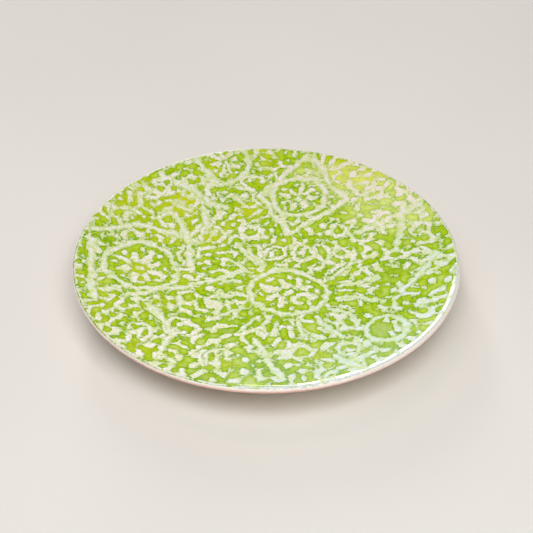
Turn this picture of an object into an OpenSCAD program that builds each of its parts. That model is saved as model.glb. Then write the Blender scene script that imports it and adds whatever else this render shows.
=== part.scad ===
// Hand painted ceramic plate: a shallow round dish on a turned foot, glazed in
// translucent green and painted with raised enamel lace.
// Millimetres, +Z up. The origin is at the middle of the foot, on the table.

/* [Dish] */
// Outside diameter over the glazed lip
plate_d = 270; // [240:1:300]
// Height of the clay face above the table at the middle
well_z = 9; // [8:0.5:12]
// Radius of the flat middle of the well
well_r = 30; // [20:1:40]
// Radius of the curve that rises from the well to the lip
rise_r = 330; // [300:5:400]
// Thickness of the fired clay wall
wall = 3; // [2.6:0.1:3.6]

/* [Foot] */
// Outside diameter of the foot ring where it meets the dish
foot_d = 140; // [120:1:160]
// Width of the foot ring where it meets the dish
foot_w = 11; // [9:0.5:14]
// Width of the bare edge that stands on the table
foot_edge_w = 5; // [4:0.5:7]
// Rounding of the foot ring's two lower edges
foot_round = 1.2; // [0.6:0.1:1.6]

/* [Glaze] */
// Thickness of every glaze coat
coat = 0.45; // [0.3:0.05:0.6]
// How far over the lip the green glaze runs, as an angle above level
lip_edge = 30; // [15:5:60]

/* [Enamel] */
// Height of the painted enamel above the glaze
enamel = 0.25; // [0.2:0.05:0.5]
// Width of a lattice band
band_w = 5; // [4:0.5:7]
// Width of the ring around each rosette
ring_w = 5; // [4:0.5:7]
// Width of one stroke in the fan
stroke_w = 3.6; // [3:0.2:4.4]
// Petals in each rosette
petals = 8; // [6:1:10]
// Width of the painted line along the lip
border_w = 2.4; // [1.6:0.2:3]
// Diameter of one filling dab
dab_d = 5; // [4:0.5:6]
// Dabs tried along the filling spiral
dab_tries = 260; // [120:10:300]

/* [Hidden] */

$fn = 96;
arc_steps = 10;   // straight steps in the rising curve of each coat
round_steps = 8;  // straight steps in the lip and in the foot's edges
sky = 60;         // taller than the whole plate, for cutting
gap = 1;          // bare glaze left between neighbouring strokes

plate_r = plate_d / 2;
rise_z = well_z + rise_r;                       // height of the rising curve's centre
lip_r = plate_r - wall / 2 - coat;              // where the lip's rounding is centred
lip_turn = asin((lip_r - well_r) / (rise_r + wall / 2));
lip_z = rise_z - (rise_r + wall / 2) * cos(lip_turn);
scale_up = plate_d / 270;                       // the painting grows with the plate

// Rosettes as [x, y, radius inside the ring]
rosettes = [for (m = [[16, -22, 22], [24, 84, 17], [-88, 0, 23], [80, -70, 12]]) m * scale_up];

// Lattice bands as [start, end]
bands = [for (b = [
    [[32, 126], [59, 77]], [[59, 77], [14, 44]], [[14, 44], [-4, 86]], [[-4, 86], [32, 126]],
    [[-66, 56], [-50, 4]], [[-96, -34], [-14, 2]], [[-124, 20], [-118, -42]],
    [[-6, -76], [10, -122]], [[38, -118], [68, -96]], [[42, -96], [62, -118]],
    [[-70, 96], [-30, 70]], [[92, 20], [104, 62]]
]) b * scale_up];

// Fan strokes around the middle rosette as [angle, first radius, last radius]
fan = [for (f = [
    [8, 34, 62], [-14, 34, 66], [-36, 34, 52], [-58, 34, 60], [-80, 34, 56], [-104, 34, 50],
    [-128, 34, 54], [-150, 34, 58], [-172, 34, 50], [30, 34, 58], [52, 34, 60], [118, 34, 56],
    [140, 34, 52], [162, 34, 46]
]) [f[0], f[1] * scale_up, f[2] * scale_up]];

function polar(r, a) = [r * cos(a), r * sin(a)];
function spot(m) = [m[0], m[1]];

// Points on a round stretch, from angle a0 to angle a1
function arc(centre, r, a0, a1, steps) =
    [for (i = [0:steps]) centre + polar(r, a0 + (a1 - a0) * i / steps)];

// The rising curve at a height above the clay face, from the well to the lip
function rise(up) = arc([well_r, rise_z], rise_r - up, -90, lip_turn - 90, arc_steps);
function flip(pts) = [for (i = [len(pts) - 1:-1:0]) pts[i]];

// Half section of a layer between two heights above the clay face
module layer(low, high) {
    polygon(concat([[0, well_z + low]], rise(low), flip(rise(high)), [[0, well_z + high]]));
}

// Height of the dish's underside at radius r
function under_z(r) = rise_z - sqrt(pow(rise_r + wall, 2) - pow(r - well_r, 2));

// Half section of the lip's rounding at radius r, from the back at -90 to the face at 90
function lip_arc(r, from, to) = arc([lip_r, lip_z], r, from, to, round_steps);
lip_back = lip_turn - 90;
lip_face = lip_turn + 90;

// Half section of a coat on part of the lip's rounding
module lip_coat(from, to) polygon(
    concat(lip_arc(wall / 2 + coat, from, to), flip(lip_arc(wall / 2, from, to))));

// A solid layer of enamel over the whole glazed face
module enamel_coat() rotate_extrude() layer(coat, coat + enamel);

// A painted group: flat artwork brought onto the curved face
module painted() {
    intersection() {
        linear_extrude(sky) children();
        enamel_coat();
    }
}

// One straight brush stroke with round ends
module stroke(a, b, w) {
    reach = b - a;
    translate(a) rotate(atan2(reach[1], reach[0])) {
        translate([0, -w / 2]) square([norm(reach), w]);
        circle(d = w);
        translate([norm(reach), 0]) circle(d = w);
    }
}

// Discs that keep other groups clear of the rosettes and of the border
module rosette_discs(extra) for (m = rosettes) translate(spot(m)) circle(m[2] + extra);
module field() circle(plate_r - wall / 2 - coat - border_w - gap);

// Distance from a point to a stroke's middle line
function stroke_gap(p, a, b) =
    let (reach = b - a, t = max(0, min(1, (p - a) * reach / (reach * reach))))
    norm(p - a - t * reach);

// How much bare glaze there is around a point
fan_lines = [for (f = fan) [spot(rosettes[0]) + polar(f[1], f[0]), spot(rosettes[0]) + polar(f[2], f[0])]];
function room(p) = min(concat(
    [for (m = rosettes) norm(p - spot(m)) - m[2] - ring_w],
    [for (b = bands) stroke_gap(p, b[0], b[1]) - band_w / 2],
    [for (f = fan_lines) stroke_gap(p, f[0], f[1]) - stroke_w / 2],
    [plate_r - 6 - norm(p)]));

// Filling dabs lie on a spiral of equal areas, wherever there is room for one
turn = 137.508;
tries = [for (i = [1:dab_tries]) polar((plate_r - 6) * sqrt(i / dab_tries), i * turn)];
dabs = [for (p = tries) if (room(p) > dab_d / 2 + gap) p];

// Fired clay: the pressed dish with its rounded lip
module clay_dish() color("#C98F6B") rotate_extrude() union() {
    layer(-wall, 0);
    polygon(lip_arc(wall / 2, lip_back, lip_face));
}

// Fired clay: the turned ring under the dish
module foot_ring() color("#B97F5C") rotate_extrude() difference() {
    foot_out = foot_d / 2;
    foot_in = foot_out - foot_w;
    edge_in = foot_in + (foot_w - foot_edge_w) / 2;
    edge_out = edge_in + foot_edge_w;
    polygon(concat(
        [[foot_in, sky / 2], [foot_in, under_z(foot_in)]],
        arc([edge_in, foot_round], foot_round, 180, 270, round_steps),
        arc([edge_out, foot_round], foot_round, 270, 360, round_steps),
        [[foot_out, under_z(foot_out)], [foot_out, sky / 2]]));
    layer(-wall, sky / 2);
}

// Translucent green glaze pooled over the face and over the top of the lip
module face_glaze() color("#9CC832") rotate_extrude() union() {
    layer(0, coat);
    lip_coat(lip_edge, lip_face);
}

// Thin pinkish glaze on the outside of the lip
module lip_glaze() color("#F0CFC0") rotate_extrude() lip_coat(lip_back, lip_edge);

// Glaze under the dish, outside the foot
module back_glaze() color("#EBD9C6") rotate_extrude() intersection() {
    layer(-wall - coat, -wall);
    translate([foot_d / 2, 0]) square([plate_r, sky]);
}

// Glaze under the dish, inside the foot
module recess_glaze() color("#EBD9C6") rotate_extrude() intersection() {
    layer(-wall - coat, -wall);
    square([foot_d / 2 - foot_w, sky]);
}

// Enamel ring around each rosette
module rosette_rings() color("#EAF0D6") painted() intersection() {
    difference() {
        rosette_discs(ring_w);
        rosette_discs(0);
    }
    field();
}

// Enamel petals and bud inside each ring
module rosette_petals() color("#F5EEDD") painted() for (m = rosettes) translate(spot(m)) {
    petal_w = m[2] * 0.26;
    circle(d = petal_w);
    for (i = [1:petals])
        stroke(polar(m[2] * 0.42, i * 360 / petals), polar(m[2] * 0.74, i * 360 / petals), petal_w);
}

// Enamel bands that join the rosettes
module lattice_bands() color("#F3EFD8") painted() intersection() {
    difference() {
        for (b = bands) stroke(b[0], b[1], band_w);
        rosette_discs(ring_w + gap);
    }
    field();
}

// Enamel strokes that fan out from the middle rosette
module fan_strokes() color("#E9F2D0") painted() difference() {
    for (f = fan_lines) stroke(f[0], f[1], stroke_w);
    rosette_discs(ring_w + gap);
    for (b = bands) stroke(b[0], b[1], band_w + 2 * gap);
}

// Enamel dabs that fill the ground between the strokes
module filler_dabs() color("#F7F1DE") painted() for (p = dabs) translate(p) circle(d = dab_d);

// Enamel line just inside the lip
module border_line() color("#F7DFD2") painted() difference() {
    circle(plate_r);
    circle(plate_r - wall / 2 - coat - border_w);
}

clay_dish();
foot_ring();
face_glaze();
lip_glaze();
back_glaze();
recess_glaze();
rosette_rings();
rosette_petals();
lattice_bands();
fan_strokes();
filler_dabs();
border_line();
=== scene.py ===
import math
import bpy
import numpy as np
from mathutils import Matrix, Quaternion, Vector


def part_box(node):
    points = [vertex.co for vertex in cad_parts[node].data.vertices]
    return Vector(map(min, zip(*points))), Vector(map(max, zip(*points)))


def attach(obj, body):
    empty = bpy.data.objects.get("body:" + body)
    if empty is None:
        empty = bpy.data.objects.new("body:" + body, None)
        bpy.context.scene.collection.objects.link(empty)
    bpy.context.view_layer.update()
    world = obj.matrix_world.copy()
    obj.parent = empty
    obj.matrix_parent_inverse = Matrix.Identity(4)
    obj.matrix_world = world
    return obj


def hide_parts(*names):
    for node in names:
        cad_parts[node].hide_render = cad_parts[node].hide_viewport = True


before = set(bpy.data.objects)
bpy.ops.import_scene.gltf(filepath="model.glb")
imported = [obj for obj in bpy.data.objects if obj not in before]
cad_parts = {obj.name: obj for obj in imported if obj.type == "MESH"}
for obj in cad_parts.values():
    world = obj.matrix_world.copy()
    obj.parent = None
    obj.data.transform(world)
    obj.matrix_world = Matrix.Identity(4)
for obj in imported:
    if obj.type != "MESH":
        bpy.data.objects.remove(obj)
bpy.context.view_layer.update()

mm = 0.001

# Sizes that every coat of the dish shares, and what follows from them
dish = {
    "wellRadius": 30 * mm,     # flat middle
    "riseRadius": 330 * mm,    # curve from the well to the lip
    "wall": 3 * mm,
    "coat": 0.45 * mm,         # every glaze coat
    "enamel": 0.16 * mm,       # painted lace above the glaze
    "shoulder": 1.5 * mm,      # the enamel rises over this distance from its edge
    "featherEdge": 0.12 * mm,
    "ripple": 0.1,             # unevenness of the enamel, as a share of its height
    "rippleWave": 3 * mm,
    "sink": 0.03 * mm,         # the enamel is sunk this far into the glaze
    "bead": 0.24 * mm,         # glaze gathered just inside the lip
    "beadWidth": 4.5 * mm,
    "beadCrest": 0.5 * mm,     # its crest is this far inside the middle of the lip
    "beadFall": 1.7 * mm,
    "lipHighlightPlace": -0.8,          # radians round from the right where the lip carries a painted highlight, drawn as glaze thinned to cream
    "lipHighlightSpread": 0.6,
    "glazeEdge": 30,           # the green runs over the lip to this angle above level
    "wobble": 0.1 * mm,        # a hand made dish is never quite true
    "wobbleWave": 70 * mm,
    "lipSwell": 0.08 * mm,
}
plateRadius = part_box("lip_glaze")[1][0]
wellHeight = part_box("face_glaze")[0][2]
riseCentre = wellHeight + dish["riseRadius"]
lipRadius = plateRadius - dish["wall"] / 2 - dish["coat"]     # middle of the rounded lip
lipTurn = math.asin((lipRadius - dish["wellRadius"]) / (dish["riseRadius"] + dish["wall"] / 2))
lipHeight = riseCentre - (dish["riseRadius"] + dish["wall"] / 2) * math.cos(lipTurn)
print("frame loaded, plate radius", round(plateRadius / mm, 2), "mm")


def linear(hexColour):
    out = []
    for k in (1, 3, 5):
        c = int(hexColour[k:k + 2], 16) / 255
        out.append(c / 12.92 if c <= 0.04045 else ((c + 0.055) / 1.055) ** 2.4)
    return (*out, 1.0)


def addNode(tree, kind, links, out=0, stops=(), **settings):
    # links maps an input to a plain value or to another node's output; stops are the colours of a ramp
    made = tree.nodes.new("ShaderNode" + kind)
    for name, value in settings.items():
        setattr(made, name, value)
    for key, value in links.items():
        if isinstance(value, bpy.types.NodeSocket):
            tree.links.new(value, made.inputs[key])
        else:
            made.inputs[key].default_value = value
    while stops and len(made.color_ramp.elements) < len(stops):
        made.color_ramp.elements.new(0.5)
    for k, (place, colour) in enumerate(stops):
        made.color_ramp.elements[k].position = place
        made.color_ramp.elements[k].color = linear(colour)
    return made.outputs[out] if len(made.outputs) else made


def humps(size):
    # the noise scale that gives humps about as wide as size
    return 0.5 / size


def newMaterial(name):
    made = bpy.data.materials.new(name)
    made.use_nodes = True
    made.node_tree.nodes.clear()
    return made, made.node_tree


def finishMaterial(tree, colour, roughness, ior, normal=None):
    links = {"Base Color": colour, "Roughness": roughness, "IOR": ior}
    if normal is not None:
        links["Normal"] = normal
    addNode(tree, "OutputMaterial", {"Surface": addNode(tree, "BsdfPrincipled", links)})


camera = {
    "distance": 0.84,                       # metres from the point it looks at
    "elevation": 38.935,                    # degrees above level
    "lens": 82.065,                         # both in millimetres
    "sensor": 36,
    "aim": (0.00012, -0.01351, 0.0255),
    "nearest": 0.02,                        # nothing closer than this is drawn
}


def placeCamera():
    data = bpy.data.cameras.new("viewCamera")
    data.lens = camera["lens"]
    data.sensor_width = camera["sensor"]
    data.clip_start = camera["nearest"]
    body = bpy.data.objects.new("viewCamera", data)
    bpy.context.collection.objects.link(body)
    rise = math.radians(camera["elevation"])
    away = Vector((0, -math.cos(rise), math.sin(rise))) * camera["distance"]
    body.location = Vector(camera["aim"]) + away
    body.rotation_euler = (-away).to_track_quat("-Z", "Y").to_euler()
    bpy.context.scene.camera = body


studio = {
    "floorHalf": 4.5,              # metres from the middle of the board to its sides
    "floorTints": [(0.3, "#E2E0DB"), (0.7, "#E9E7E2")],
    "floorGrain": 0.2,
    "rollRadius": 1.5,             # the paper roll stands this far out
    "rollFoot": -0.1,              # it starts a little below the board
    "rollTop": 1.2,
    "rollSectors": 96,
    "rollTint": "#D0CDC7",
    "airTint": "#F4F2EF",
    "air": 0.12,                   # light from all round
    "aimHeight": 0.02,             # the lamps point at this height over the middle
}
# Lamps: degrees to the right of straight back, degrees above the floor, metres away, size in metres, watts
lamps = {
    "stripLight": dict(turn=-9.7, rise=14.2, away=4, size=(1.97, 0.46), power=62, tint="#FFFFFF", roll=58),
    "windowGlow": dict(turn=-8, rise=17, away=4, size=(1.2, 1.1), power=2.6, tint="#DCE6FF"),
    "highWindow": dict(turn=-20, rise=54, away=2, size=(0.6, 0.6), power=4, tint="#FFD8D0"),
    "overheadLight": dict(turn=165, rise=60, away=1.9, size=(1.7, 1.7), power=30, tint="#FFFDF8"),
    "fillLight": dict(turn=-110, rise=62, away=2.2, size=(1.6, 1.6), power=9, tint="#F4F8FF"),
}    # the bright line inside the lip, the cool veil at the near right, the rosy far right, main light, fill


def softbox(name, turn, rise, away, size, power, tint, roll=0):
    turn, rise = math.radians(turn), math.radians(rise)
    level = math.cos(rise)
    place = Vector((math.sin(turn) * level, math.cos(turn) * level, math.sin(rise))) * away
    data = bpy.data.lights.new(name, "AREA")
    data.shape = "RECTANGLE"
    data.size, data.size_y = size
    data.energy = power
    data.color = linear(tint)[:3]
    body = bpy.data.objects.new(name, data)
    bpy.context.collection.objects.link(body)
    body.location = place
    facing = (Vector((0, 0, studio["aimHeight"])) - place).to_track_quat("-Z", "Y")
    body.rotation_euler = (facing @ Quaternion((0, 0, 1), math.radians(roll))).to_euler()
    body.visible_camera = False


def makeFloor():
    half = studio["floorHalf"]
    corners = [(-half, -half, 0), (half, -half, 0), (half, half, 0), (-half, half, 0)]
    mesh = bpy.data.meshes.new("studioFloor")
    mesh.from_pydata(corners, [], [(0, 1, 2, 3)])
    body = bpy.data.objects.new("studioFloor", mesh)
    bpy.context.collection.objects.link(body)
    made, tree = newMaterial("paintedBoard")   # matt painted board: no gleam, only soft shadow
    place = addNode(tree, "TexCoord", {}, "Object")
    cloud = addNode(tree, "TexNoise", {"Vector": place, "Scale": humps(studio["floorGrain"])})
    finishMaterial(tree, addNode(tree, "ValToRGB", {"Fac": cloud}, stops=studio["floorTints"]), 0.9, 1.5)
    mesh.materials.append(made)


def makeBackdrop():
    # a pale paper roll stands round the table; it glows evenly and throws no light on the plate
    radius, sectors = studio["rollRadius"], studio["rollSectors"]
    turns = [k * 2 * math.pi / sectors for k in range(sectors)]
    heights = (studio["rollFoot"], studio["rollTop"])
    verts = [(radius * math.cos(t), radius * math.sin(t), z) for z in heights for t in turns]
    faces = [(k, (k + 1) % sectors, sectors + (k + 1) % sectors, sectors + k) for k in range(sectors)]
    mesh = bpy.data.meshes.new("paperBackdrop")
    mesh.from_pydata(verts, [], faces)
    body = bpy.data.objects.new("paperBackdrop", mesh)
    bpy.context.collection.objects.link(body)
    made, tree = newMaterial("glowingPaper")   # flat pale grey behind the plate in low views
    glow = addNode(tree, "Emission", {"Color": linear(studio["rollTint"]), "Strength": 1.0})
    addNode(tree, "OutputMaterial", {"Surface": glow})
    mesh.materials.append(made)
    body.visible_diffuse = False
    body.visible_glossy = False
    body.visible_shadow = False


def lightStudio():
    scene = bpy.context.scene
    scene.view_settings.view_transform = "Standard"   # keeps the clear lime of the glaze
    scene.world = bpy.data.worlds.new("studioAir")
    scene.world.use_nodes = True
    air = scene.world.node_tree.nodes["Background"]
    air.inputs["Color"].default_value = linear(studio["airTint"])
    air.inputs["Strength"].default_value = studio["air"]
    for name, lamp in lamps.items():
        softbox(name, **lamp)


placeCamera()
makeFloor()
makeBackdrop()
lightStudio()
print("camera, floor and light are set")

# The painting is worked out on a fine grid over the face
brushwork = {
    "cell": 0.6 * mm,                   # grid spacing
    "edge": plateRadius - 1.1 * mm,     # the lace and the broken line on the lip stop here
    "borderWidth": 1.4 * mm,
    "paintedHighlightSwell": 2.8 * mm,            # painted highlight: the line is painted broader at the near right, where its white stands in for the highlight along the lip
    "paintedHighlightPlace": -0.95,                # radians round from the right, and how far it spreads
    "paintedHighlightSpread": 0.6,
    "ringWidth": 5.0 * mm,
    "bandWidth": 5.4 * mm,
    "strokeWidth": 4.2 * mm,
    "curlWidth": 3.8 * mm,
    "berryRadius": 3.1 * mm,
    "berryWidth": 1.4 * mm,
    "berrySeed": 1.2 * mm,
    "petals": 8,
    "smallRosette": 14,                 # below this radius in millimetres a rosette holds only a few dabs
    "fillWave": 7.4 * mm,               # from one filling stroke to the next
    "fillCoarse": 9.4 * mm,             # the same where the painter used a fuller brush
    "fullerFade": 50 * mm,              # how fast one brush gives way to the other
    "fillBias": -0.08,                  # how full the filling is
    "spare": 0.7 * mm,                  # bare glaze beside a motif, and how much that varies
    "spareDrift": 1.5 * mm,
    "ringGap": 0.5 * mm,
    "crumble": 0.44 * mm,               # how ragged the edges are
    "crumbs": [(3.6 * mm, 0.5, 43), (2.4 * mm, 0.6, 41), (1.5 * mm, 0.7, 42)],     # size, share, seed
    "load": 0.5 * mm,                   # the brush is fuller in some places than others
    "loadWave": 7 * mm,
    "drift": 1.4 * mm,                  # how far the brush strays, slowly and then quickly
    "driftWave": 30 * mm,
    "tremble": 0.45 * mm,
    "trembleWave": 9 * mm,
    "pools": 44,                        # open pools of glaze, each with a rim of thick enamel
    "poolRadius": (2.8, 5.2),           # least and most, in millimetres
    "poolMargin": 11,                   # millimetres from the lip to the outermost pool
    "poolShake": 5,                     # most that a pool is shifted, in millimetres
    "poolRim": 3.8 * mm,
    "poolGap": 0.3 * mm,
    "poolWander": 0.9 * mm,
    "seamWander": 3 * mm,               # the line where the filling is cut in two meshes
    "seamWave": 24 * mm,
    "lineKeep": 0.4 * mm,               # where the border line is whole, and how it breaks up
    "lineBreak": 0.9 * mm,
    "lineWave": 14 * mm,
}
# A rosette's petals, as shares of its radius
petal = {
    "heart": 0.13,
    "root": 0.36,
    "tips": (0.62, 0.76),               # every second petal is longer
    "width": 0.25,
    "budPlace": 0.8,
    "bud": 0.1,
    "dabPlace": 0.72,
    "dab": 0.26,
    "dabAngles": (-70, -20, 30, 80),
}
# The strokes that fill the ground
ground = {
    "headings": 6,
    "headingSpread": 0.4,               # radians
    "pullFade": 20 * mm,                # nearer than this a rosette no longer turns the strokes
    "drawn": 0.6,                       # shares of drawn out strokes, even humps, coarse ones and fine ones
    "even": 0.6,
    "coarse": 0.4,
    "fine": 0.1,
    "slow": 0.25,                       # how much fuller some parts are
    "openAbove": 0.8,                   # here and there the glaze stays open
}
# Everything in these lists is in millimetres and degrees: rosettes are (x, y, radius inside the ring)
rosettes = [(16, -22, 22), (24, 84, 17), (-88, 0, 23), (80, -70, 12), (-32, 118, 17)]
bands = [
    ((-126, 30), (-92, 42)), ((-92, 42), (-64, 38)), ((-50, 80), (-44, 44)), ((68, 40), (114, 60)),
    ((-80, -40), (-58, -72)), ((-58, -72), (-70, -104)), ((94, -28), (120, 6)), ((-20, 30), (-2, 8)),
    ((32, 126), (59, 77)), ((59, 77), (14, 44)), ((14, 44), (-4, 86)), ((-4, 86), (32, 126)),
    ((-66, 56), (-50, 4)), ((-96, -34), (-14, 2)), ((-124, 20), (-118, -42)),
    ((-6, -76), (10, -122)), ((38, -118), (68, -96)), ((42, -96), (62, -118)),
    ((-70, 96), (-30, 70)), ((92, 20), (104, 62)),
]
# Fan strokes around the middle rosette are (angle, first radius, last radius)
fan = [
    (8, 34, 62), (-14, 34, 66), (-36, 34, 52), (-58, 34, 60), (-80, 34, 56), (-104, 34, 50),
    (-128, 34, 54), (-150, 34, 58), (-172, 34, 50), (30, 34, 58), (52, 34, 60), (118, 34, 56),
    (140, 34, 52), (162, 34, 46),
]
# Curls are (x, y, radius, first angle, sweep)
curls = [
    (52, -88, 8, 0, 330), (96, -42, 9, 40, 200), (70, 40, 9, 120, 220), (-40, 40, 9, -30, 230),
    (-104, 54, 8, 20, 300), (-58, -62, 9, 60, 240), (-30, -96, 9, 10, 210), (108, 8, 8, 200, 230),
    (-84, -74, 8, -60, 220), (72, 92, 9, 150, 220), (-8, 100, 7, 10, 260), (-34, -34, 7, 80, 230),
    (112, 36, 7, 20, 200), (-62, 76, 7, 200, 250), (6, 20, 7, 0, 360), (26, 21, 7, 0, 360),
]
berries = [
    (-34, 88), (-22, 66), (-44, 66), (-52, 82), (24, -74), (30, -104), (88, 2), (-98, 84), (40, 34),
    (-72, -46),
]

count = int(plateRadius / brushwork["cell"]) * 2 + 8
axis = (np.arange(count) - count / 2) * brushwork["cell"]
gridX, gridY = np.meshgrid(axis, axis, indexing="ij")


def sievedField(seed, sieve):
    # random numbers on the grid, with only the sizes that the sieve lets through
    white = np.random.default_rng(seed).standard_normal((count, count))
    f = np.fft.fftfreq(count, brushwork["cell"])
    fx, fy = np.meshgrid(f, f, indexing="ij")
    field = np.fft.ifft2(np.fft.fft2(white) * sieve(np.hypot(fx, fy), np.arctan2(fy, fx))).real
    return (field - field.mean()) / field.std()


def grainField(wave, seed):
    # humps of one size
    return sievedField(seed, lambda f, turn: np.exp(-((f * wave - 1) / 0.35) ** 2))


def drawnField(wave, seed, heading):
    # humps of one size that are drawn out along a heading
    def sieve(f, turn):
        return np.exp(-((f * wave - 1) / 0.35) ** 2) * np.sin(turn - heading) ** 2

    return sievedField(seed, sieve)


def broadField(wave, seed):
    # slow drift: everything longer than one wave
    return sievedField(seed, lambda f, turn: np.exp(-(f * wave) ** 2))


def sampleField(field, x, y):
    u = np.clip(x / brushwork["cell"] + count / 2, 0, count - 1.001)
    v = np.clip(y / brushwork["cell"] + count / 2, 0, count - 1.001)
    i, j = u.astype(int), v.astype(int)
    s, t = u - i, v - j
    near = field[i, j] * (1 - s) + field[i + 1, j] * s
    far = field[i, j + 1] * (1 - s) + field[i + 1, j + 1] * s
    return near * (1 - t) + far * t


# The brush never runs quite straight
driftX = gridX + brushwork["drift"] * broadField(brushwork["driftWave"], 11)
driftX += brushwork["tremble"] * grainField(brushwork["trembleWave"], 12)
driftY = gridY + brushwork["drift"] * broadField(brushwork["driftWave"], 13)
driftY += brushwork["tremble"] * grainField(brushwork["trembleWave"], 14)


def discField(x, y, radius):
    # every field here says how far inside a shape a point is, in metres
    return radius - np.hypot(driftX - x * mm, driftY - y * mm)


def ringField(x, y, radius, width):
    return width / 2 - np.abs(discField(x, y, radius))


def strokeField(start, end, width):
    ax, ay = start[0] * mm, start[1] * mm
    bx, by = end[0] * mm - ax, end[1] * mm - ay         # from start to end
    along = np.clip(((driftX - ax) * bx + (driftY - ay) * by) / (bx * bx + by * by), 0, 1)
    return width / 2 - np.hypot(driftX - ax - along * bx, driftY - ay - along * by)


def curlField(x, y, radius, first, sweep, width):
    dx, dy = driftX - x * mm, driftY - y * mm
    ahead = np.mod(np.degrees(np.arctan2(dy, dx)) - first, 360)
    off = radius * mm - np.hypot(dx, dy)
    toEnd = np.radians(np.minimum(np.abs(ahead - sweep), 360 - ahead)) * radius * mm
    return width / 2 - np.where(ahead <= sweep, np.abs(off), np.hypot(off, toEnd))


def anyOf(fields):
    return np.maximum.reduce(list(fields))


def polarPoint(x, y, radius, angle):
    return x + radius * math.cos(math.radians(angle)), y + radius * math.sin(math.radians(angle))


def petalsField(x, y, radius):
    if radius < brushwork["smallRosette"]:      # it holds a pool with a few dabs on one side
        dabs = [polarPoint(x, y, radius * petal["dabPlace"], angle) for angle in petal["dabAngles"]]
        return anyOf(discField(*dab, radius * petal["dab"] * mm) for dab in dabs)
    parts = [discField(x, y, radius * petal["heart"] * mm)]
    for k in range(brushwork["petals"]):
        angle = (k + 0.5) * 360 / brushwork["petals"]
        root = polarPoint(x, y, radius * petal["root"], angle)
        tip = polarPoint(x, y, radius * petal["tips"][k % 2], angle)
        parts.append(strokeField(root, tip, radius * petal["width"] * mm))
        between = polarPoint(x, y, radius * petal["budPlace"], angle + 180 / brushwork["petals"])
        parts.append(discField(*between, radius * petal["bud"] * mm))
    return anyOf(parts)


def berryField(x, y):
    ring = ringField(x, y, brushwork["berryRadius"], brushwork["berryWidth"])
    return np.maximum(ring, discField(x, y, brushwork["berrySeed"]))


def poolField():
    # pools lie on a spiral of equal areas, shaken a little
    rng = np.random.default_rng(33)
    discs = []
    goldenAngle = 137.508
    reach = plateRadius / mm - brushwork["poolMargin"]
    for k in range(brushwork["pools"]):
        x, y = polarPoint(0, 0, reach * math.sqrt((k + 0.5) / brushwork["pools"]), goldenAngle * k)
        x, y = np.array([x, y]) + rng.uniform(-brushwork["poolShake"], brushwork["poolShake"], 2)
        discs.append(discField(x, y, rng.uniform(*brushwork["poolRadius"]) * mm))
    return anyOf(discs)


def fillingField(wave, seed):
    # the ground is filled with short strokes that run out from the rosettes
    pull = np.zeros((count, count), complex)
    for x, y, radius in rosettes:
        dx, dy = gridX - x * mm, gridY - y * mm
        pull += np.exp(2j * np.arctan2(dy, dx)) / (dx ** 2 + dy ** 2 + ground["pullFade"] ** 2)
    along = np.angle(pull) / 2
    total = np.zeros((count, count))
    for heading in np.arange(ground["headings"]) * math.pi / ground["headings"]:
        away = np.mod(along - heading + math.pi / 2, math.pi) - math.pi / 2
        total += np.exp(-(away / ground["headingSpread"]) ** 2) * drawnField(wave, seed, heading)
    total = ground["drawn"] * total / total.std()
    total += ground["even"] * grainField(wave, seed + 1)
    total += ground["coarse"] * grainField(wave * 1.5, seed + 2)
    total += ground["fine"] * grainField(wave * 0.6, seed + 3)
    total += ground["slow"] * broadField(wave * 3, seed + 4)
    total += brushwork["fillBias"]
    total -= np.maximum(grainField(wave * 2.6, seed + 5) - ground["openAbove"], 0)
    return total * wave / (2 * math.pi)


def paintMotifs():
    # each kind of stroke; bands, fans and curls stop at a ring
    width = brushwork["ringWidth"]
    middle = rosettes[0][:2]
    strokes = [(polarPoint(*middle, r0, turn), polarPoint(*middle, r1, turn)) for turn, r0, r1 in fan]
    layers = {
        "rosetteRings": anyOf(ringField(x, y, radius * mm + width / 2, width) for x, y, radius in rosettes),
        "rosettePetals": anyOf(petalsField(*m) for m in rosettes),
        "latticeBands": anyOf(strokeField(a, b, brushwork["bandWidth"]) for a, b in bands),
        "fanStrokes": anyOf(strokeField(a, b, brushwork["strokeWidth"]) for a, b in strokes),
        "curls": np.maximum(anyOf(curlField(*c, brushwork["curlWidth"]) for c in curls),
                            anyOf(berryField(*b) for b in berries)),
    }
    inRing = anyOf(discField(x, y, radius * mm) for x, y, radius in rosettes)
    for name in ("latticeBands", "fanStrokes", "curls"):
        layers[name] = np.minimum(layers[name], -inRing)
    return layers, inRing


def paintFilling(motifs, inRing):
    # two brushes filled the ground: a fuller one at the near right
    spare = brushwork["spare"] + brushwork["spareDrift"] * broadField(14 * mm, 31)
    fuller = 0.5 + 0.5 * np.tanh((gridX - gridY) / brushwork["fullerFade"])
    filling = fillingField(brushwork["fillWave"], 21) * (1 - fuller)
    filling += fillingField(brushwork["fillCoarse"], 81) * fuller
    filling /= np.hypot(fuller, 1 - fuller)
    inPool = poolField()
    half = brushwork["poolRim"] / 2
    rim = half - np.abs(inPool + half + brushwork["poolGap"])
    filling = np.maximum(filling, rim + brushwork["poolWander"] * grainField(7 * mm, 34))
    return np.minimum.reduce([filling, -motifs - spare, -inRing - brushwork["ringGap"], -inPool])


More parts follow.
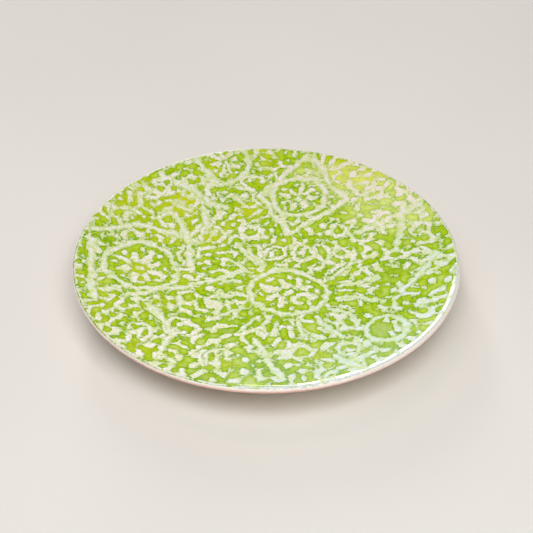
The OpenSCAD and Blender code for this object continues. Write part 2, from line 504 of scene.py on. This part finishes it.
def paintLace():
    layers, inRing = paintMotifs()
    layers["filling"] = paintFilling(anyOf(layers.values()), inRing)
    crumbs = [share * grainField(size, seed) for size, share, seed in brushwork["crumbs"]]
    crumble = brushwork["crumble"] * sum(crumbs)
    load = brushwork["load"] * grainField(brushwork["loadWave"], 44)
    reach = np.hypot(gridX, gridY)
    for name in layers:
        pressed = crumble if name == "filling" else crumble + load
        layers[name] = np.minimum(layers[name] + pressed, brushwork["edge"] - reach)
    # painted highlight: the border line broadens at the near right
    away = (np.arctan2(gridY, gridX) - brushwork["paintedHighlightPlace"]) / brushwork["paintedHighlightSpread"]
    half = brushwork["borderWidth"] / 2 + brushwork["paintedHighlightSwell"] / 2 * np.exp(-away ** 2)
    line = half - np.abs(reach - brushwork["edge"] + half)
    whole = brushwork["lineKeep"] + brushwork["lineBreak"] * grainField(brushwork["lineWave"], 51)
    layers["borderLine"] = line + np.minimum(crumble, whole)
    return layers


lace = paintLace()
union = anyOf(lace.values())
onFace = np.hypot(gridX, gridY) < brushwork["edge"]
print("lace covers", round(float((union[onFace] > 0).mean()), 3), "of the face")

wobbleField = dish["wobble"] * broadField(dish["wobbleWave"], 5)


def beadHeight(reach):
    # the glaze gathers into a low bead just inside the lip, which is what catches the light
    fromCrest = reach - lipRadius + dish["beadCrest"]
    rise = np.clip(fromCrest / dish["beadWidth"] + 1, 0, 1) ** 2
    fall = 0.5 + 0.5 * np.cos(math.pi * np.clip(fromCrest / dish["beadFall"], 0, 1))
    return dish["bead"] * rise * fall


def faceHeight(x, y, lift):
    # height of a point that lies lift above the clay face
    reach = np.hypot(x, y)
    out = np.maximum(reach - dish["wellRadius"], 0)
    bowl = riseCentre - np.sqrt((dish["riseRadius"] - lift) ** 2 - out ** 2)
    bend = dish["wall"] / 2 + lift                          # radius of the lip's rounding at this lift
    overLip = lipHeight + np.sqrt(np.maximum(bend ** 2 - (reach - lipRadius) ** 2, 0))
    onLip = reach > lipRadius - bend * math.sin(lipTurn)
    bead = beadHeight(reach) if np.max(lift) > 0 else 0      # the clay under the glaze has none
    return np.where(onLip, overLip, bowl) + bead + sampleField(wobbleField, x, y)


def addPiece(name, verts, faces, material, nodes, values=None):
    mesh = bpy.data.meshes.new(name)
    mesh.from_pydata(verts, [], faces)
    for key, data in (values or {}).items():
        mesh.attributes.new(key, "FLOAT", "POINT").data.foreach_set("value", np.asarray(data, np.float32))
    mesh.polygons.foreach_set("use_smooth", [True] * len(mesh.polygons))
    mesh.materials.append(material)
    body = bpy.data.objects.new(name, mesh)
    bpy.context.collection.objects.link(body)
    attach(body, "root")
    if nodes:
        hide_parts(*nodes)
    print(name, len(mesh.polygons), "faces")


def laceMesh(name, material, nodes, layer=None, side=np.inf):
    # closed raised solid over the part of the grid that belongs to one layer, or over one side of it
    layer = layer or name
    others = anyOf(field for key, field in lace.items() if key != layer)
    member = np.minimum(np.minimum(lace[layer], lace[layer] - others), side)
    inside = member > 0
    total = count * count
    a, b = np.nonzero(inside[:-1, :-1] | inside[1:, :-1] | inside[1:, 1:] | inside[:-1, 1:])
    full = inside[a, b] & inside[a + 1, b] & inside[a + 1, b + 1] & inside[a, b + 1]
    i, j = a[full], b[full]
    first = i * count + j
    tops = np.stack([first, first + count, first + count + 1, first + 1], 1).tolist()
    walls = []
    for i, j in zip(a[~full].tolist(), b[~full].tolist()):
        corners = [(i, j), (i + 1, j), (i + 1, j + 1), (i, j + 1)]
        edges = [total + i * count + j, 2 * total + (i + 1) * count + j,
                 total + i * count + j + 1, 2 * total + i * count + j]     # in turn along x and along y
        loop = []
        for k in range(4):
            here, ahead = inside[corners[k]], inside[corners[(k + 1) % 4]]
            if here:
                loop.append(corners[k][0] * count + corners[k][1])
            if here != ahead:
                loop.append(edges[k])
        tops.append(loop)
        walls += [(p, q) for p, q in zip(loop, loop[1:] + loop[:1]) if p >= total and q >= total]
    used = np.unique(np.fromiter((v for f in tops for v in f), np.int64))
    kind, cell = used // total, used % total
    i, j = cell // count, cell % count
    i2, j2 = i + (kind == 1), j + (kind == 2)
    share = np.where(kind > 0, member[i, j] / np.where(kind > 0, member[i, j] - member[i2, j2], 1), 0)
    share = np.clip(share, 0.05 * (kind > 0), 0.95)
    x = gridX[i, j] * (1 - share) + gridX[i2, j2] * share
    y = gridY[i, j] * (1 - share) + gridY[i2, j2] * share
    depth = union[i, j] * (1 - share) + union[i2, j2] * share
    shoulder = 1 - (1 - np.clip(depth / dish["shoulder"], 0, 1)) ** 2
    free = (kind > 0) & (depth < dish["featherEdge"])       # the enamel thins to nothing at a free edge
    ripple = 1 + dish["ripple"] * sampleField(rippleField, x, y)
    lift = np.where(free, 0, dish["enamel"] * shoulder * ripple)
    base = dish["coat"] - dish["sink"]
    top = np.stack([x, y, faceHeight(x, y, base + lift)], 1)
    low = np.stack([x, y, faceHeight(x, y, base)], 1)[~free]
    order = {v: k for k, v in enumerate(used.tolist())}
    under = np.arange(len(used))
    under[~free] = len(used) + np.arange(len(low))
    under = under.tolist()
    faces = [[order[v] for v in f] for f in tops]
    faces += [[under[v] for v in reversed(f)] for f in faces]
    for p, q in walls:
        p, q = order[p], order[q]
        wall = list(dict.fromkeys((q, p, under[p], under[q])))
        if len(wall) > 2:
            faces.append(wall)
    verts = np.concatenate([top, low])
    values = {
        "thick": np.concatenate([depth, np.zeros(len(low))]) / mm,
        "paintedCoolReflection": (verts[:, 0] - verts[:, 1]) / plateRadius,              # rises to the near right, where the enamel gets a painted cool reflection
        "paintedRosyReflection": (0.6 * verts[:, 0] + verts[:, 1]) / plateRadius,        # rises to the far right, where the enamel gets a painted rosy reflection
    }
    addPiece(name, verts.tolist(), faces, material, nodes, values)


def turnRings(name, rings, sectors, material, nodes, paint=None):
    # a closed skin through rings of (radius, height), turned about the upright axis
    angles = np.arange(sectors) * 2 * math.pi / sectors
    verts, starts = [], []
    for r, z in rings:
        starts.append(len(verts))
        if np.ndim(r) == 0 and r == 0:
            verts.append((0.0, 0.0, float(z)))
        else:
            r, z = r + np.zeros(sectors), z + np.zeros(sectors)
            verts += zip((np.cos(angles) * r).tolist(), (np.sin(angles) * r).tolist(), z.tolist())
    starts.append(len(verts))
    faces = []
    for k in range(len(rings)):
        after = (k + 1) % len(rings)
        a, b = starts[k], starts[after]
        stepA = 0 if starts[k + 1] - a == 1 else 1          # a ring that is a single point has no steps
        stepB = 0 if starts[after + 1] - b == 1 else 1
        for s in range(sectors):
            t = (s + 1) % sectors
            corners = list(dict.fromkeys([a + s * stepA, b + s * stepB, b + t * stepB, a + t * stepA]))
            if len(corners) > 2:
                faces.append(corners)
    addPiece(name, verts, faces, material, nodes, paint(np.array(verts)) if paint else None)


greenLook = {
    "deep": 3.6,                 # millimetres from the enamel at which a pool has its last colour
    "depths": [(0.0, "#70AA00"), (0.12, "#88BC00"), (0.28, "#AED200"), (0.5, "#BEDE20"), (1.0, "#D0E878")],
    "warm": "#D2DE0C",           # a hotter part of the kiln turns the green yellow
    "warmFrom": (0.45, 2.7),     # the warmth at which the colour starts to turn, and where it has turned
    "cold": "#6CAA00",
    "coldFrom": (-0.3, -3.4),
    "coldMost": 0.5,
    "kilnWave": 40 * mm,
    "kilnDrift": 0.8,
    "kilnSlope": 0.8,            # it grows warmer to the far left
    "mottleSize": 1.3 * mm,
    "mottle": [(0.3, "#E6E6E6"), (0.7, "#FFFFFF")],
    "crumbSize": 1.1 * mm,       # loose crumbs of enamel
    "crumb": "#DCE6B4",
    "crumbFrom": (0.42, 0.5),
    "crumbMost": 0.85,
    "crumbFade": -0.3,           # fewer of them with each millimetre from the enamel
    "breakSize": 4 * mm,         # the glaze breaks to cream over the lip
    "breakWander": 0.4,
    "cream": "#FCF2EA",
    "creamFrom": (0.5, 0.66),
    "ripple": 0.1 * mm,
    "glossSize": 5 * mm,
    "gloss": (0.07, 0.13),
    "ior": 1.52,
}


def greenGlaze(look):
    # copper green lead-style glaze, dipped and fired: clear lime where it pools, sharp green where it thins
    made, tree = newMaterial("copperGreenGlaze")
    place = addNode(tree, "TexCoord", {}, "Object")
    pool = addNode(tree, "Attribute", {}, "Fac", attribute_name="pool")
    warmth = addNode(tree, "Attribute", {}, "Fac", attribute_name="warmth")
    thinGlazeAndHighlight = addNode(tree, "Attribute", {}, "Fac", attribute_name="thinGlazeAndHighlight")
    depth = addNode(tree, "MapRange", {"Value": pool, "From Min": 0.0, "From Max": look["deep"]})
    colour = addNode(tree, "ValToRGB", {"Fac": depth}, stops=look["depths"])
    low, high = look["warmFrom"]
    hot = addNode(tree, "MapRange", {"Value": warmth, "From Min": low, "From Max": high})
    colour = addNode(tree, "Mix", {0: hot, 6: colour, 7: linear(look["warm"])}, 2, data_type="RGBA")
    low, high = look["coldFrom"]
    cold = addNode(tree, "MapRange",
                   {"Value": warmth, "From Min": low, "From Max": high, "To Max": look["coldMost"]})
    colour = addNode(tree, "Mix", {0: cold, 6: colour, 7: linear(look["cold"])}, 2, data_type="RGBA")
    fine = addNode(tree, "TexNoise", {"Vector": place, "Scale": humps(look["mottleSize"]), "Detail": 3})
    mottle = addNode(tree, "ValToRGB", {"Fac": fine}, stops=look["mottle"])
    colour = addNode(tree, "Mix", {0: 1.0, 6: colour, 7: mottle}, 2,
                     data_type="RGBA", blend_type="MULTIPLY")
    crumbs = addNode(tree, "TexNoise", {"Vector": place, "Scale": humps(look["crumbSize"]), "Detail": 1})
    crumbs = addNode(tree, "Math", {0: pool, 1: look["crumbFade"], 2: crumbs}, operation="MULTIPLY_ADD")
    low, high = look["crumbFrom"]
    crumbs = addNode(tree, "MapRange",
                     {"Value": crumbs, "From Min": low, "From Max": high, "To Max": look["crumbMost"]})
    colour = addNode(tree, "Mix", {0: crumbs, 6: colour, 7: linear(look["crumb"])}, 2, data_type="RGBA")
    ragged = addNode(tree, "TexNoise", {"Vector": place, "Scale": humps(look["breakSize"])})
    # cream where the glaze thins over the lip; at the near right this cream is also a painted highlight
    broken = addNode(tree, "Math", {0: ragged, 1: look["breakWander"], 2: thinGlazeAndHighlight}, operation="MULTIPLY_ADD")
    low, high = look["creamFrom"]
    broken = addNode(tree, "MapRange", {"Value": broken, "From Min": low, "From Max": high})
    colour = addNode(tree, "Mix", {0: broken, 6: colour, 7: linear(look["cream"])}, 2, data_type="RGBA")
    smear = addNode(tree, "TexNoise", {"Vector": place, "Scale": humps(look["glossSize"])})
    low, high = look["gloss"]
    gloss = addNode(tree, "MapRange",
                    {"Value": smear, "From Min": 0.3, "From Max": 0.7, "To Min": low, "To Max": high})
    normal = addNode(tree, "Bump", {"Height": ragged, "Strength": 0.2, "Distance": look["ripple"]})
    finishMaterial(tree, colour, gloss, look["ior"], normal)
    return made


# Enamels differ in how thickly they are laid on, how rough they fire and how far the glaze stains them
bandLook = {"load": 0.3, "rough": 0.55, "stain": 1.0}
dabLook = {"load": 0.8, "rough": 0.55, "stain": 1.0}
# the border line's enamel is laid heavily and barely stained, so it stays near white all round; where it
# broadens at the near right this white is a painted highlight
rimLineAndHighlightLook = {"load": 2.0, "rough": 0.16, "stain": 0.15}
enamelLook = {
    "thinned": [(0.0, "#C4DC60"), (0.25, "#D4E4A0"), (1.0, "#DAE8D0")],
    "thinnedDeep": 1.5,          # millimetres from an edge at which thin enamel has its last colour
    "heavy": "#F2EEEA",
    "heavyDeep": 2.4,            # and thick enamel its full weight
    "heavyFrom": (1.5, 1.9),
    "patchSize": 11 * mm,        # patches where the brush was fuller
    "patchWeight": 1.2,
    "paintedCoolReflection": "#E6F8FF",           # painted reflection: the near right is tinted cool and the far right rosy, like the lamps' veils on the glaze
    "paintedCoolReflectionFrom": (0.3, 1.1),
    "paintedRosyReflection": "#FFF5FA",
    "paintedRosyReflectionFrom": (0.55, 1.1),
    "speckSize": 1 * mm,         # glaze bubbled up through the enamel
    "speck": "#D2E07C",
    "speckFrom": (0.5, 0.56),
    "speckMost": 0.8,
    "wornSize": 1.1 * mm,        # ragged edges let the glaze through
    "worn": "#A0CC14",
    "wornFrom": (0.36, 0.44),
    "wornMost": 0.9,
    "wornFade": -0.8,
    "sheenSize": 3 * mm,
    "sheenSpread": 0.06,
    "grainSize": 0.9 * mm,
    "grainDepth": 0.08 * mm,
}


def creamEnamel(name, load, rough, stain):
    # opaque tin-white enamel, trailed by brush: cream where it lies thick, stained by the glaze where thin
    look = enamelLook
    made, tree = newMaterial(name)
    place = addNode(tree, "TexCoord", {}, "Object")
    thick = addNode(tree, "Attribute", {}, "Fac", attribute_name="thick")
    paintedCoolReflection = addNode(tree, "Attribute", {}, "Fac", attribute_name="paintedCoolReflection")
    paintedRosyReflection = addNode(tree, "Attribute", {}, "Fac", attribute_name="paintedRosyReflection")
    depth = addNode(tree, "MapRange", {"Value": thick, "From Min": 0.0, "From Max": look["thinnedDeep"]})
    heavy = addNode(tree, "MapRange", {"Value": thick, "From Min": 0.0, "From Max": look["heavyDeep"]})
    patch = addNode(tree, "TexNoise", {"Vector": place, "Scale": humps(look["patchSize"])})
    heavy = addNode(tree, "Math", {0: patch, 1: look["patchWeight"], 2: heavy}, operation="MULTIPLY_ADD")
    low, high = look["heavyFrom"]
    heavy = addNode(tree, "MapRange", {"Value": heavy, "From Min": low - load, "From Max": high - load})
    thinned = addNode(tree, "ValToRGB", {"Fac": depth}, stops=look["thinned"])
    colour = addNode(tree, "Mix", {0: heavy, 6: thinned, 7: linear(look["heavy"])}, 2, data_type="RGBA")
    # painted reflection: a cool tint towards the near right and a rosy tint towards the far right
    for side, tone in ((paintedCoolReflection, "paintedCoolReflection"), (paintedRosyReflection, "paintedRosyReflection")):
        low, high = look[tone + "From"]
        share = addNode(tree, "MapRange", {"Value": side, "From Min": low, "From Max": high})
        colour = addNode(tree, "Mix", {0: share, 6: colour, 7: linear(look[tone])}, 2,
                         data_type="RGBA", blend_type="MULTIPLY")
    speck = addNode(tree, "TexNoise", {"Vector": place, "Scale": humps(look["speckSize"]), "Detail": 1})
    low, high = look["speckFrom"]
    most = look["speckMost"] * stain
    speck = addNode(tree, "MapRange", {"Value": speck, "From Min": low, "From Max": high, "To Max": most})
    colour = addNode(tree, "Mix", {0: speck, 6: colour, 7: linear(look["speck"])}, 2, data_type="RGBA")
    worn = addNode(tree, "TexNoise", {"Vector": place, "Scale": humps(look["wornSize"]), "Detail": 1})
    worn = addNode(tree, "Math", {0: depth, 1: look["wornFade"], 2: worn}, operation="MULTIPLY_ADD")
    low, high = look["wornFrom"]
    most = look["wornMost"] * stain
    worn = addNode(tree, "MapRange", {"Value": worn, "From Min": low, "From Max": high, "To Max": most})
    colour = addNode(tree, "Mix", {0: worn, 6: colour, 7: linear(look["worn"])}, 2, data_type="RGBA")
    smear = addNode(tree, "TexNoise", {"Vector": place, "Scale": humps(look["sheenSize"])})
    low, high = rough - look["sheenSpread"], rough + look["sheenSpread"]
    sheen = addNode(tree, "MapRange",
                    {"Value": smear, "From Min": 0.3, "From Max": 0.7, "To Min": low, "To Max": high})
    grain = addNode(tree, "TexNoise", {"Vector": place, "Scale": humps(look["grainSize"])})
    normal = addNode(tree, "Bump", {"Height": grain, "Strength": 0.25, "Distance": look["grainDepth"]})
    finishMaterial(tree, colour, sheen, 1.5, normal)
    return made


lipLook = {
    "runs": [(0.1, "#FFF4EA"), (0.35, "#F8D8CE"), (0.7, "#EAB4A8")],
    "runSize": 6 * mm,
    "runWander": 0.3,
    "speckSize": 0.7 * mm,
    "speck": "#B98A6C",
    "speckFrom": (0.64, 0.7),
    "speckMost": 0.4,
    "waveSize": 3 * mm,
    "waveDepth": 0.1 * mm,
    "rough": 0.2,
}


def lipCream(look):
    # thin glaze on the rounded lip: cream on top, and the pink of the clay shows where it has run off below
    made, tree = newMaterial("pinkCreamLipGlaze")
    place = addNode(tree, "TexCoord", {}, "Object")
    # pink where the glaze ran off below; at the near right the pink is held back as a painted highlight
    glazeRunAndHighlight = addNode(tree, "Attribute", {}, "Fac", attribute_name="glazeRunAndHighlight")
    drips = addNode(tree, "TexNoise", {"Vector": place, "Scale": humps(look["runSize"]), "Detail": 3})
    glazeRunAndHighlight = addNode(tree, "Math", {0: drips, 1: look["runWander"], 2: glazeRunAndHighlight}, operation="MULTIPLY_ADD")
    colour = addNode(tree, "ValToRGB", {"Fac": glazeRunAndHighlight}, stops=look["runs"])
    speck = addNode(tree, "TexNoise", {"Vector": place, "Scale": humps(look["speckSize"]), "Detail": 1})
    low, high = look["speckFrom"]
    speck = addNode(tree, "MapRange",
                    {"Value": speck, "From Min": low, "From Max": high, "To Max": look["speckMost"]})
    colour = addNode(tree, "Mix", {0: speck, 6: colour, 7: linear(look["speck"])}, 2, data_type="RGBA")
    waves = addNode(tree, "TexNoise", {"Vector": place, "Scale": humps(look["waveSize"])})
    normal = addNode(tree, "Bump", {"Height": waves, "Strength": 0.2, "Distance": look["waveDepth"]})
    finishMaterial(tree, colour, look["rough"], 1.5, normal)
    return made


backLook = {
    "clouds": [(0.35, "#E2CDB8"), (0.65, "#F0E2D0")],
    "cloudSize": 22 * mm,
    "speckSize": 0.9 * mm,       # iron specks
    "speck": "#8A6246",
    "speckFrom": (0.68, 0.73),
    "speckMost": 0.7,
    "waveSize": 2.5 * mm,
    "waveDepth": 0.12 * mm,
    "rough": 0.22,
}


def backCream(look):
    # ivory glaze poured over buff clay: softly clouded, with a few iron specks
    made, tree = newMaterial("ivoryBackGlaze")
    place = addNode(tree, "TexCoord", {}, "Object")
    cloud = addNode(tree, "TexNoise", {"Vector": place, "Scale": humps(look["cloudSize"]), "Detail": 3})
    colour = addNode(tree, "ValToRGB", {"Fac": cloud}, stops=look["clouds"])
    speck = addNode(tree, "TexNoise", {"Vector": place, "Scale": humps(look["speckSize"]), "Detail": 1})
    low, high = look["speckFrom"]
    speck = addNode(tree, "MapRange",
                    {"Value": speck, "From Min": low, "From Max": high, "To Max": look["speckMost"]})
    colour = addNode(tree, "Mix", {0: speck, 6: colour, 7: linear(look["speck"])}, 2, data_type="RGBA")
    waves = addNode(tree, "TexNoise", {"Vector": place, "Scale": humps(look["waveSize"])})
    normal = addNode(tree, "Bump", {"Height": waves, "Strength": 0.2, "Distance": look["waveDepth"]})
    finishMaterial(tree, colour, look["rough"], 1.5, normal)
    return made


clayLook = {
    "tints": [(0.3, "#B98563"), (0.7, "#D3A883")],
    "clayGrain": 1.1 * mm,
    "grit": 0.6 * mm,
    "gritDepth": 0.2 * mm,
    "rough": 0.85,
}


def buffClay(look):
    # fired buff earthenware, turned: dry and grainy
    made, tree = newMaterial("firedBuffClay")
    place = addNode(tree, "TexCoord", {}, "Object")
    grain = addNode(tree, "TexNoise",
                    {"Vector": place, "Scale": humps(look["clayGrain"]), "Detail": 4, "Roughness": 0.7})
    colour = addNode(tree, "ValToRGB", {"Fac": grain}, stops=look["tints"])
    grit = addNode(tree, "TexNoise", {"Vector": place, "Scale": humps(look["grit"]), "Detail": 3})
    normal = addNode(tree, "Bump", {"Height": grit, "Strength": 0.5, "Distance": look["gritDepth"]})
    finishMaterial(tree, colour, look["rough"], 1.45, normal)
    return made


rippleField = grainField(dish["rippleWave"], 61)
bandEnamel = creamEnamel("mintTinEnamel", **bandLook)
dabEnamel = creamEnamel("creamTinEnamel", **dabLook)
# cream line round the lip, partly a painted highlight at the near right
rimLineAndHighlightEnamel = creamEnamel("glossyRimAndPaintedHighlightEnamel", **rimLineAndHighlightLook)

laceMesh("rosetteRings", bandEnamel, ["rosette_rings"])
laceMesh("rosettePetals", dabEnamel, ["rosette_petals"])
laceMesh("latticeBands", bandEnamel, ["lattice_bands"])
laceMesh("fanStrokes", bandEnamel, ["fan_strokes"])
laceMesh("curls", dabEnamel, [])

# The filling is too large for one mesh, so it is cut in two along a line that wavers
midway = driftX + brushwork["seamWander"] * grainField(brushwork["seamWave"], 62)
laceMesh("fillingLeft", dabEnamel, ["filler_dabs"], "filling", -midway)
laceMesh("fillingRight", dabEnamel, ["filler_dabs"], "filling", midway)
laceMesh("borderLine", rimLineAndHighlightEnamel, ["border_line"])


# How finely the turned coats are meshed
fineness = {"face": 512, "lip": 384, "back": 384, "foot": 256, "backStep": 0.9 * mm, "footStep": 0.7 * mm}
lipBack = math.degrees(lipTurn) - 90
lipFace = math.degrees(lipTurn) + 90


def lipPoint(radius, angle):
    # a point on the lip's rounding; the angle is above level, on the outside
    return polarPoint(lipRadius, lipHeight, radius, angle)


def sway(turn, seed, waves=(2, 3, 5, 8)):
    # slow unevenness round the plate, between about -1 and 1
    phases = np.random.default_rng(seed).uniform(0, 2 * math.pi, len(waves))
    return sum(np.sin(w * turn + p) for w, p in zip(waves, phases)) / len(waves) ** 0.5


def nearRight(x, y):
    # 1 at the painted highlight on the near right of the lip, fading to 0 both ways round
    return np.exp(-((np.arctan2(y, x) - dish["lipHighlightPlace"]) / dish["lipHighlightSpread"]) ** 2)


def lipRings(turn, radius, fromAngle, toAngle, steps):
    # the lip's outer side swells a little here and there
    wobble = sampleField(wobbleField, lipRadius * np.cos(turn), lipRadius * np.sin(turn))
    rings = []
    for angle in np.linspace(fromAngle, toAngle, steps):
        r, z = lipPoint(radius, angle)
        if radius > dish["wall"] / 2:
            z += beadHeight(r)
        swell = dish["lipSwell"] * sway(turn, 71) * math.sin(math.radians(lipFace - angle))
        rings.append((r + swell, z + wobble))
    return rings


def makeFaceGlaze():
    sectors = fineness["face"]
    turn = np.arange(sectors) * 2 * math.pi / sectors
    outside, inside = dish["wall"] / 2 + dish["coat"], dish["wall"] / 2
    edge, root = lipPoint(outside, lipFace)[0], lipPoint(inside, lipFace)[0]
    middle = np.zeros(1)
    rings = [(0, faceHeight(middle, middle, dish["coat"])[0])]
    for r in np.linspace(1 * mm, edge, 132)[:-1]:
        rings.append((r, faceHeight(r * np.cos(turn), r * np.sin(turn), dish["coat"])))
    flat = len(rings)
    rings += lipRings(turn, outside, lipFace, dish["glazeEdge"], 12)
    over = len(rings)
    rings += lipRings(turn, inside, dish["glazeEdge"], lipFace, 8)[:-1]
    for r in np.linspace(root, 8 * mm, 14):
        rings.append((r, faceHeight(r * np.cos(turn), r * np.sin(turn), 0)))
    rings.append((0, faceHeight(middle, middle, 0)[0]))
    thinGlazeAndHighlight = np.zeros(len(rings))                  # the glaze thins over the lip and breaks to cream
    thinGlazeAndHighlight[flat - 2:over] = np.linspace(0, 1, over - flat + 2)

    def paint(verts):
        ringSizes = [1] + [sectors] * (len(rings) - 2) + [1]
        x, y = verts[:, 0], verts[:, 1]
        kiln = sampleField(broadField(greenLook["kilnWave"], 133), x, y)
        warmth = greenLook["kilnDrift"] * kiln + greenLook["kilnSlope"] * (y - x) / plateRadius
        crept = np.repeat(thinGlazeAndHighlight[::-1], ringSizes)
        # the glaze breaks to cream over the lip, more so at the far side; at the near right it is spread
        # wider as a painted highlight
        creamAndHighlight = 0.8 * crept ** 3 * (1 + np.maximum(y / plateRadius, 0)) + 3 * crept * nearRight(x, y)
        return {"pool": -sampleField(union, x, y) / mm, "thinGlazeAndHighlight": creamAndHighlight, "warmth": warmth}

    glaze = greenGlaze(greenLook)
    turnRings("faceGlaze", rings[::-1], sectors, glaze, ["face_glaze"], paint)


def makeLip():
    sectors = fineness["lip"]
    turn = np.arange(sectors) * 2 * math.pi / sectors
    rings = lipRings(turn, dish["wall"] / 2 + dish["coat"], dish["glazeEdge"], lipBack, 13)
    rings += lipRings(turn, dish["wall"] / 2, lipBack, dish["glazeEdge"], 9)

    def paint(verts):
        drop = lipHeight + (dish["wall"] / 2 + dish["coat"]) * 0.5 - verts[:, 2]
        glazeRunAndHighlight = drop / (1.5 * dish["wall"] / 2 + dish["coat"])
        # painted highlight: less pink and more cream at the near right
        return {"glazeRunAndHighlight": glazeRunAndHighlight - 0.15 * nearRight(verts[:, 0], verts[:, 1])}

    turnRings("lipGlaze", rings[::-1], sectors, lipCream(lipLook), ["lip_glaze"], paint)


def underHeight(reach, depth):
    # height of the underside, depth below the clay face
    out = np.maximum(reach - dish["wellRadius"], 0)
    return riseCentre - np.sqrt((dish["riseRadius"] + depth) ** 2 - out ** 2)


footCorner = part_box("foot_ring")[1]
foot = {
    "outside": footCorner[0],
    "inside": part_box("recess_glaze")[1][0],
    "edge": 5 * mm,              # bare edge that stands on the table
    "bend": 1.2 * mm,
    "throwing": 0.05 * mm,       # height of the rings that the fingers leave
    "throwingStep": 4.5 * mm,
}


def throwingRings(turn, reach):
    # shallow rings from turning on the wheel: a slow spiral, never quite even
    spiral = 2 * math.pi * reach / foot["throwingStep"] + turn + 0.6 * sway(turn, 72)
    fade = np.clip((lipRadius - 2 * mm - reach) / (10 * mm), 0, 1)
    return foot["throwing"] * fade * (0.5 - 0.5 * np.cos(spiral))


def makeUnderGlaze(name, inner, outer, material, nodes):
    # one coat under the dish, between two radii
    sectors = fineness["back"]
    turn = np.arange(sectors) * 2 * math.pi / sectors
    top, low = dish["wall"], dish["wall"] + dish["coat"]
    radii = np.linspace(inner, outer, max(int((outer - inner) / fineness["backStep"]), 8))
    rings = [(r, underHeight(r, low) + (throwingRings(turn, r) if r > 0 else 0)) for r in radii[::-1]]
    rings += [(r, underHeight(r, top)) for r in radii[::3]]
    turnRings(name, rings, sectors, material, nodes)


def makeFoot():
    inside, outside, bend = foot["inside"], foot["outside"], foot["bend"]
    edgeIn = inside + (outside - inside - foot["edge"]) / 2
    edgeOut = edgeIn + foot["edge"]
    outline = [(inside, underHeight(inside, dish["wall"]))]
    for angle in np.linspace(180, 270, 9):
        outline.append(polarPoint(edgeIn, bend, bend, angle))
    for angle in np.linspace(270, 360, 9):
        outline.append(polarPoint(edgeOut, bend, bend, angle))
    outline.append((outside, underHeight(outside, dish["wall"])))
    rings = []
    for (r0, z0), (r1, z1) in zip(outline, outline[1:] + outline[:1]):
        steps = max(int(math.hypot(r1 - r0, z1 - z0) / fineness["footStep"]), 1)
        for k in range(steps):
            share = k / steps
            r, z = r0 + (r1 - r0) * share, z0 + (z1 - z0) * share
            onTop = len(rings) and (r0, z0) == outline[-1]
            rings.append((r, underHeight(r, dish["wall"]) if onTop else z))
    turnRings("footRing", rings[::-1], fineness["foot"], buffClay(clayLook), ["foot_ring"])


makeFaceGlaze()
makeLip()
lipStart = lipPoint(dish["wall"] / 2, lipBack)[0]
makeUnderGlaze("backGlaze", foot["outside"], lipStart, backCream(backLook), ["back_glaze"])
makeUnderGlaze("recessGlaze", 0, foot["inside"], backCream(backLook), ["recess_glaze"])
makeFoot()
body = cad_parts["clay_dish"]
body.data.materials.clear()
body.data.materials.append(buffClay(clayLook))
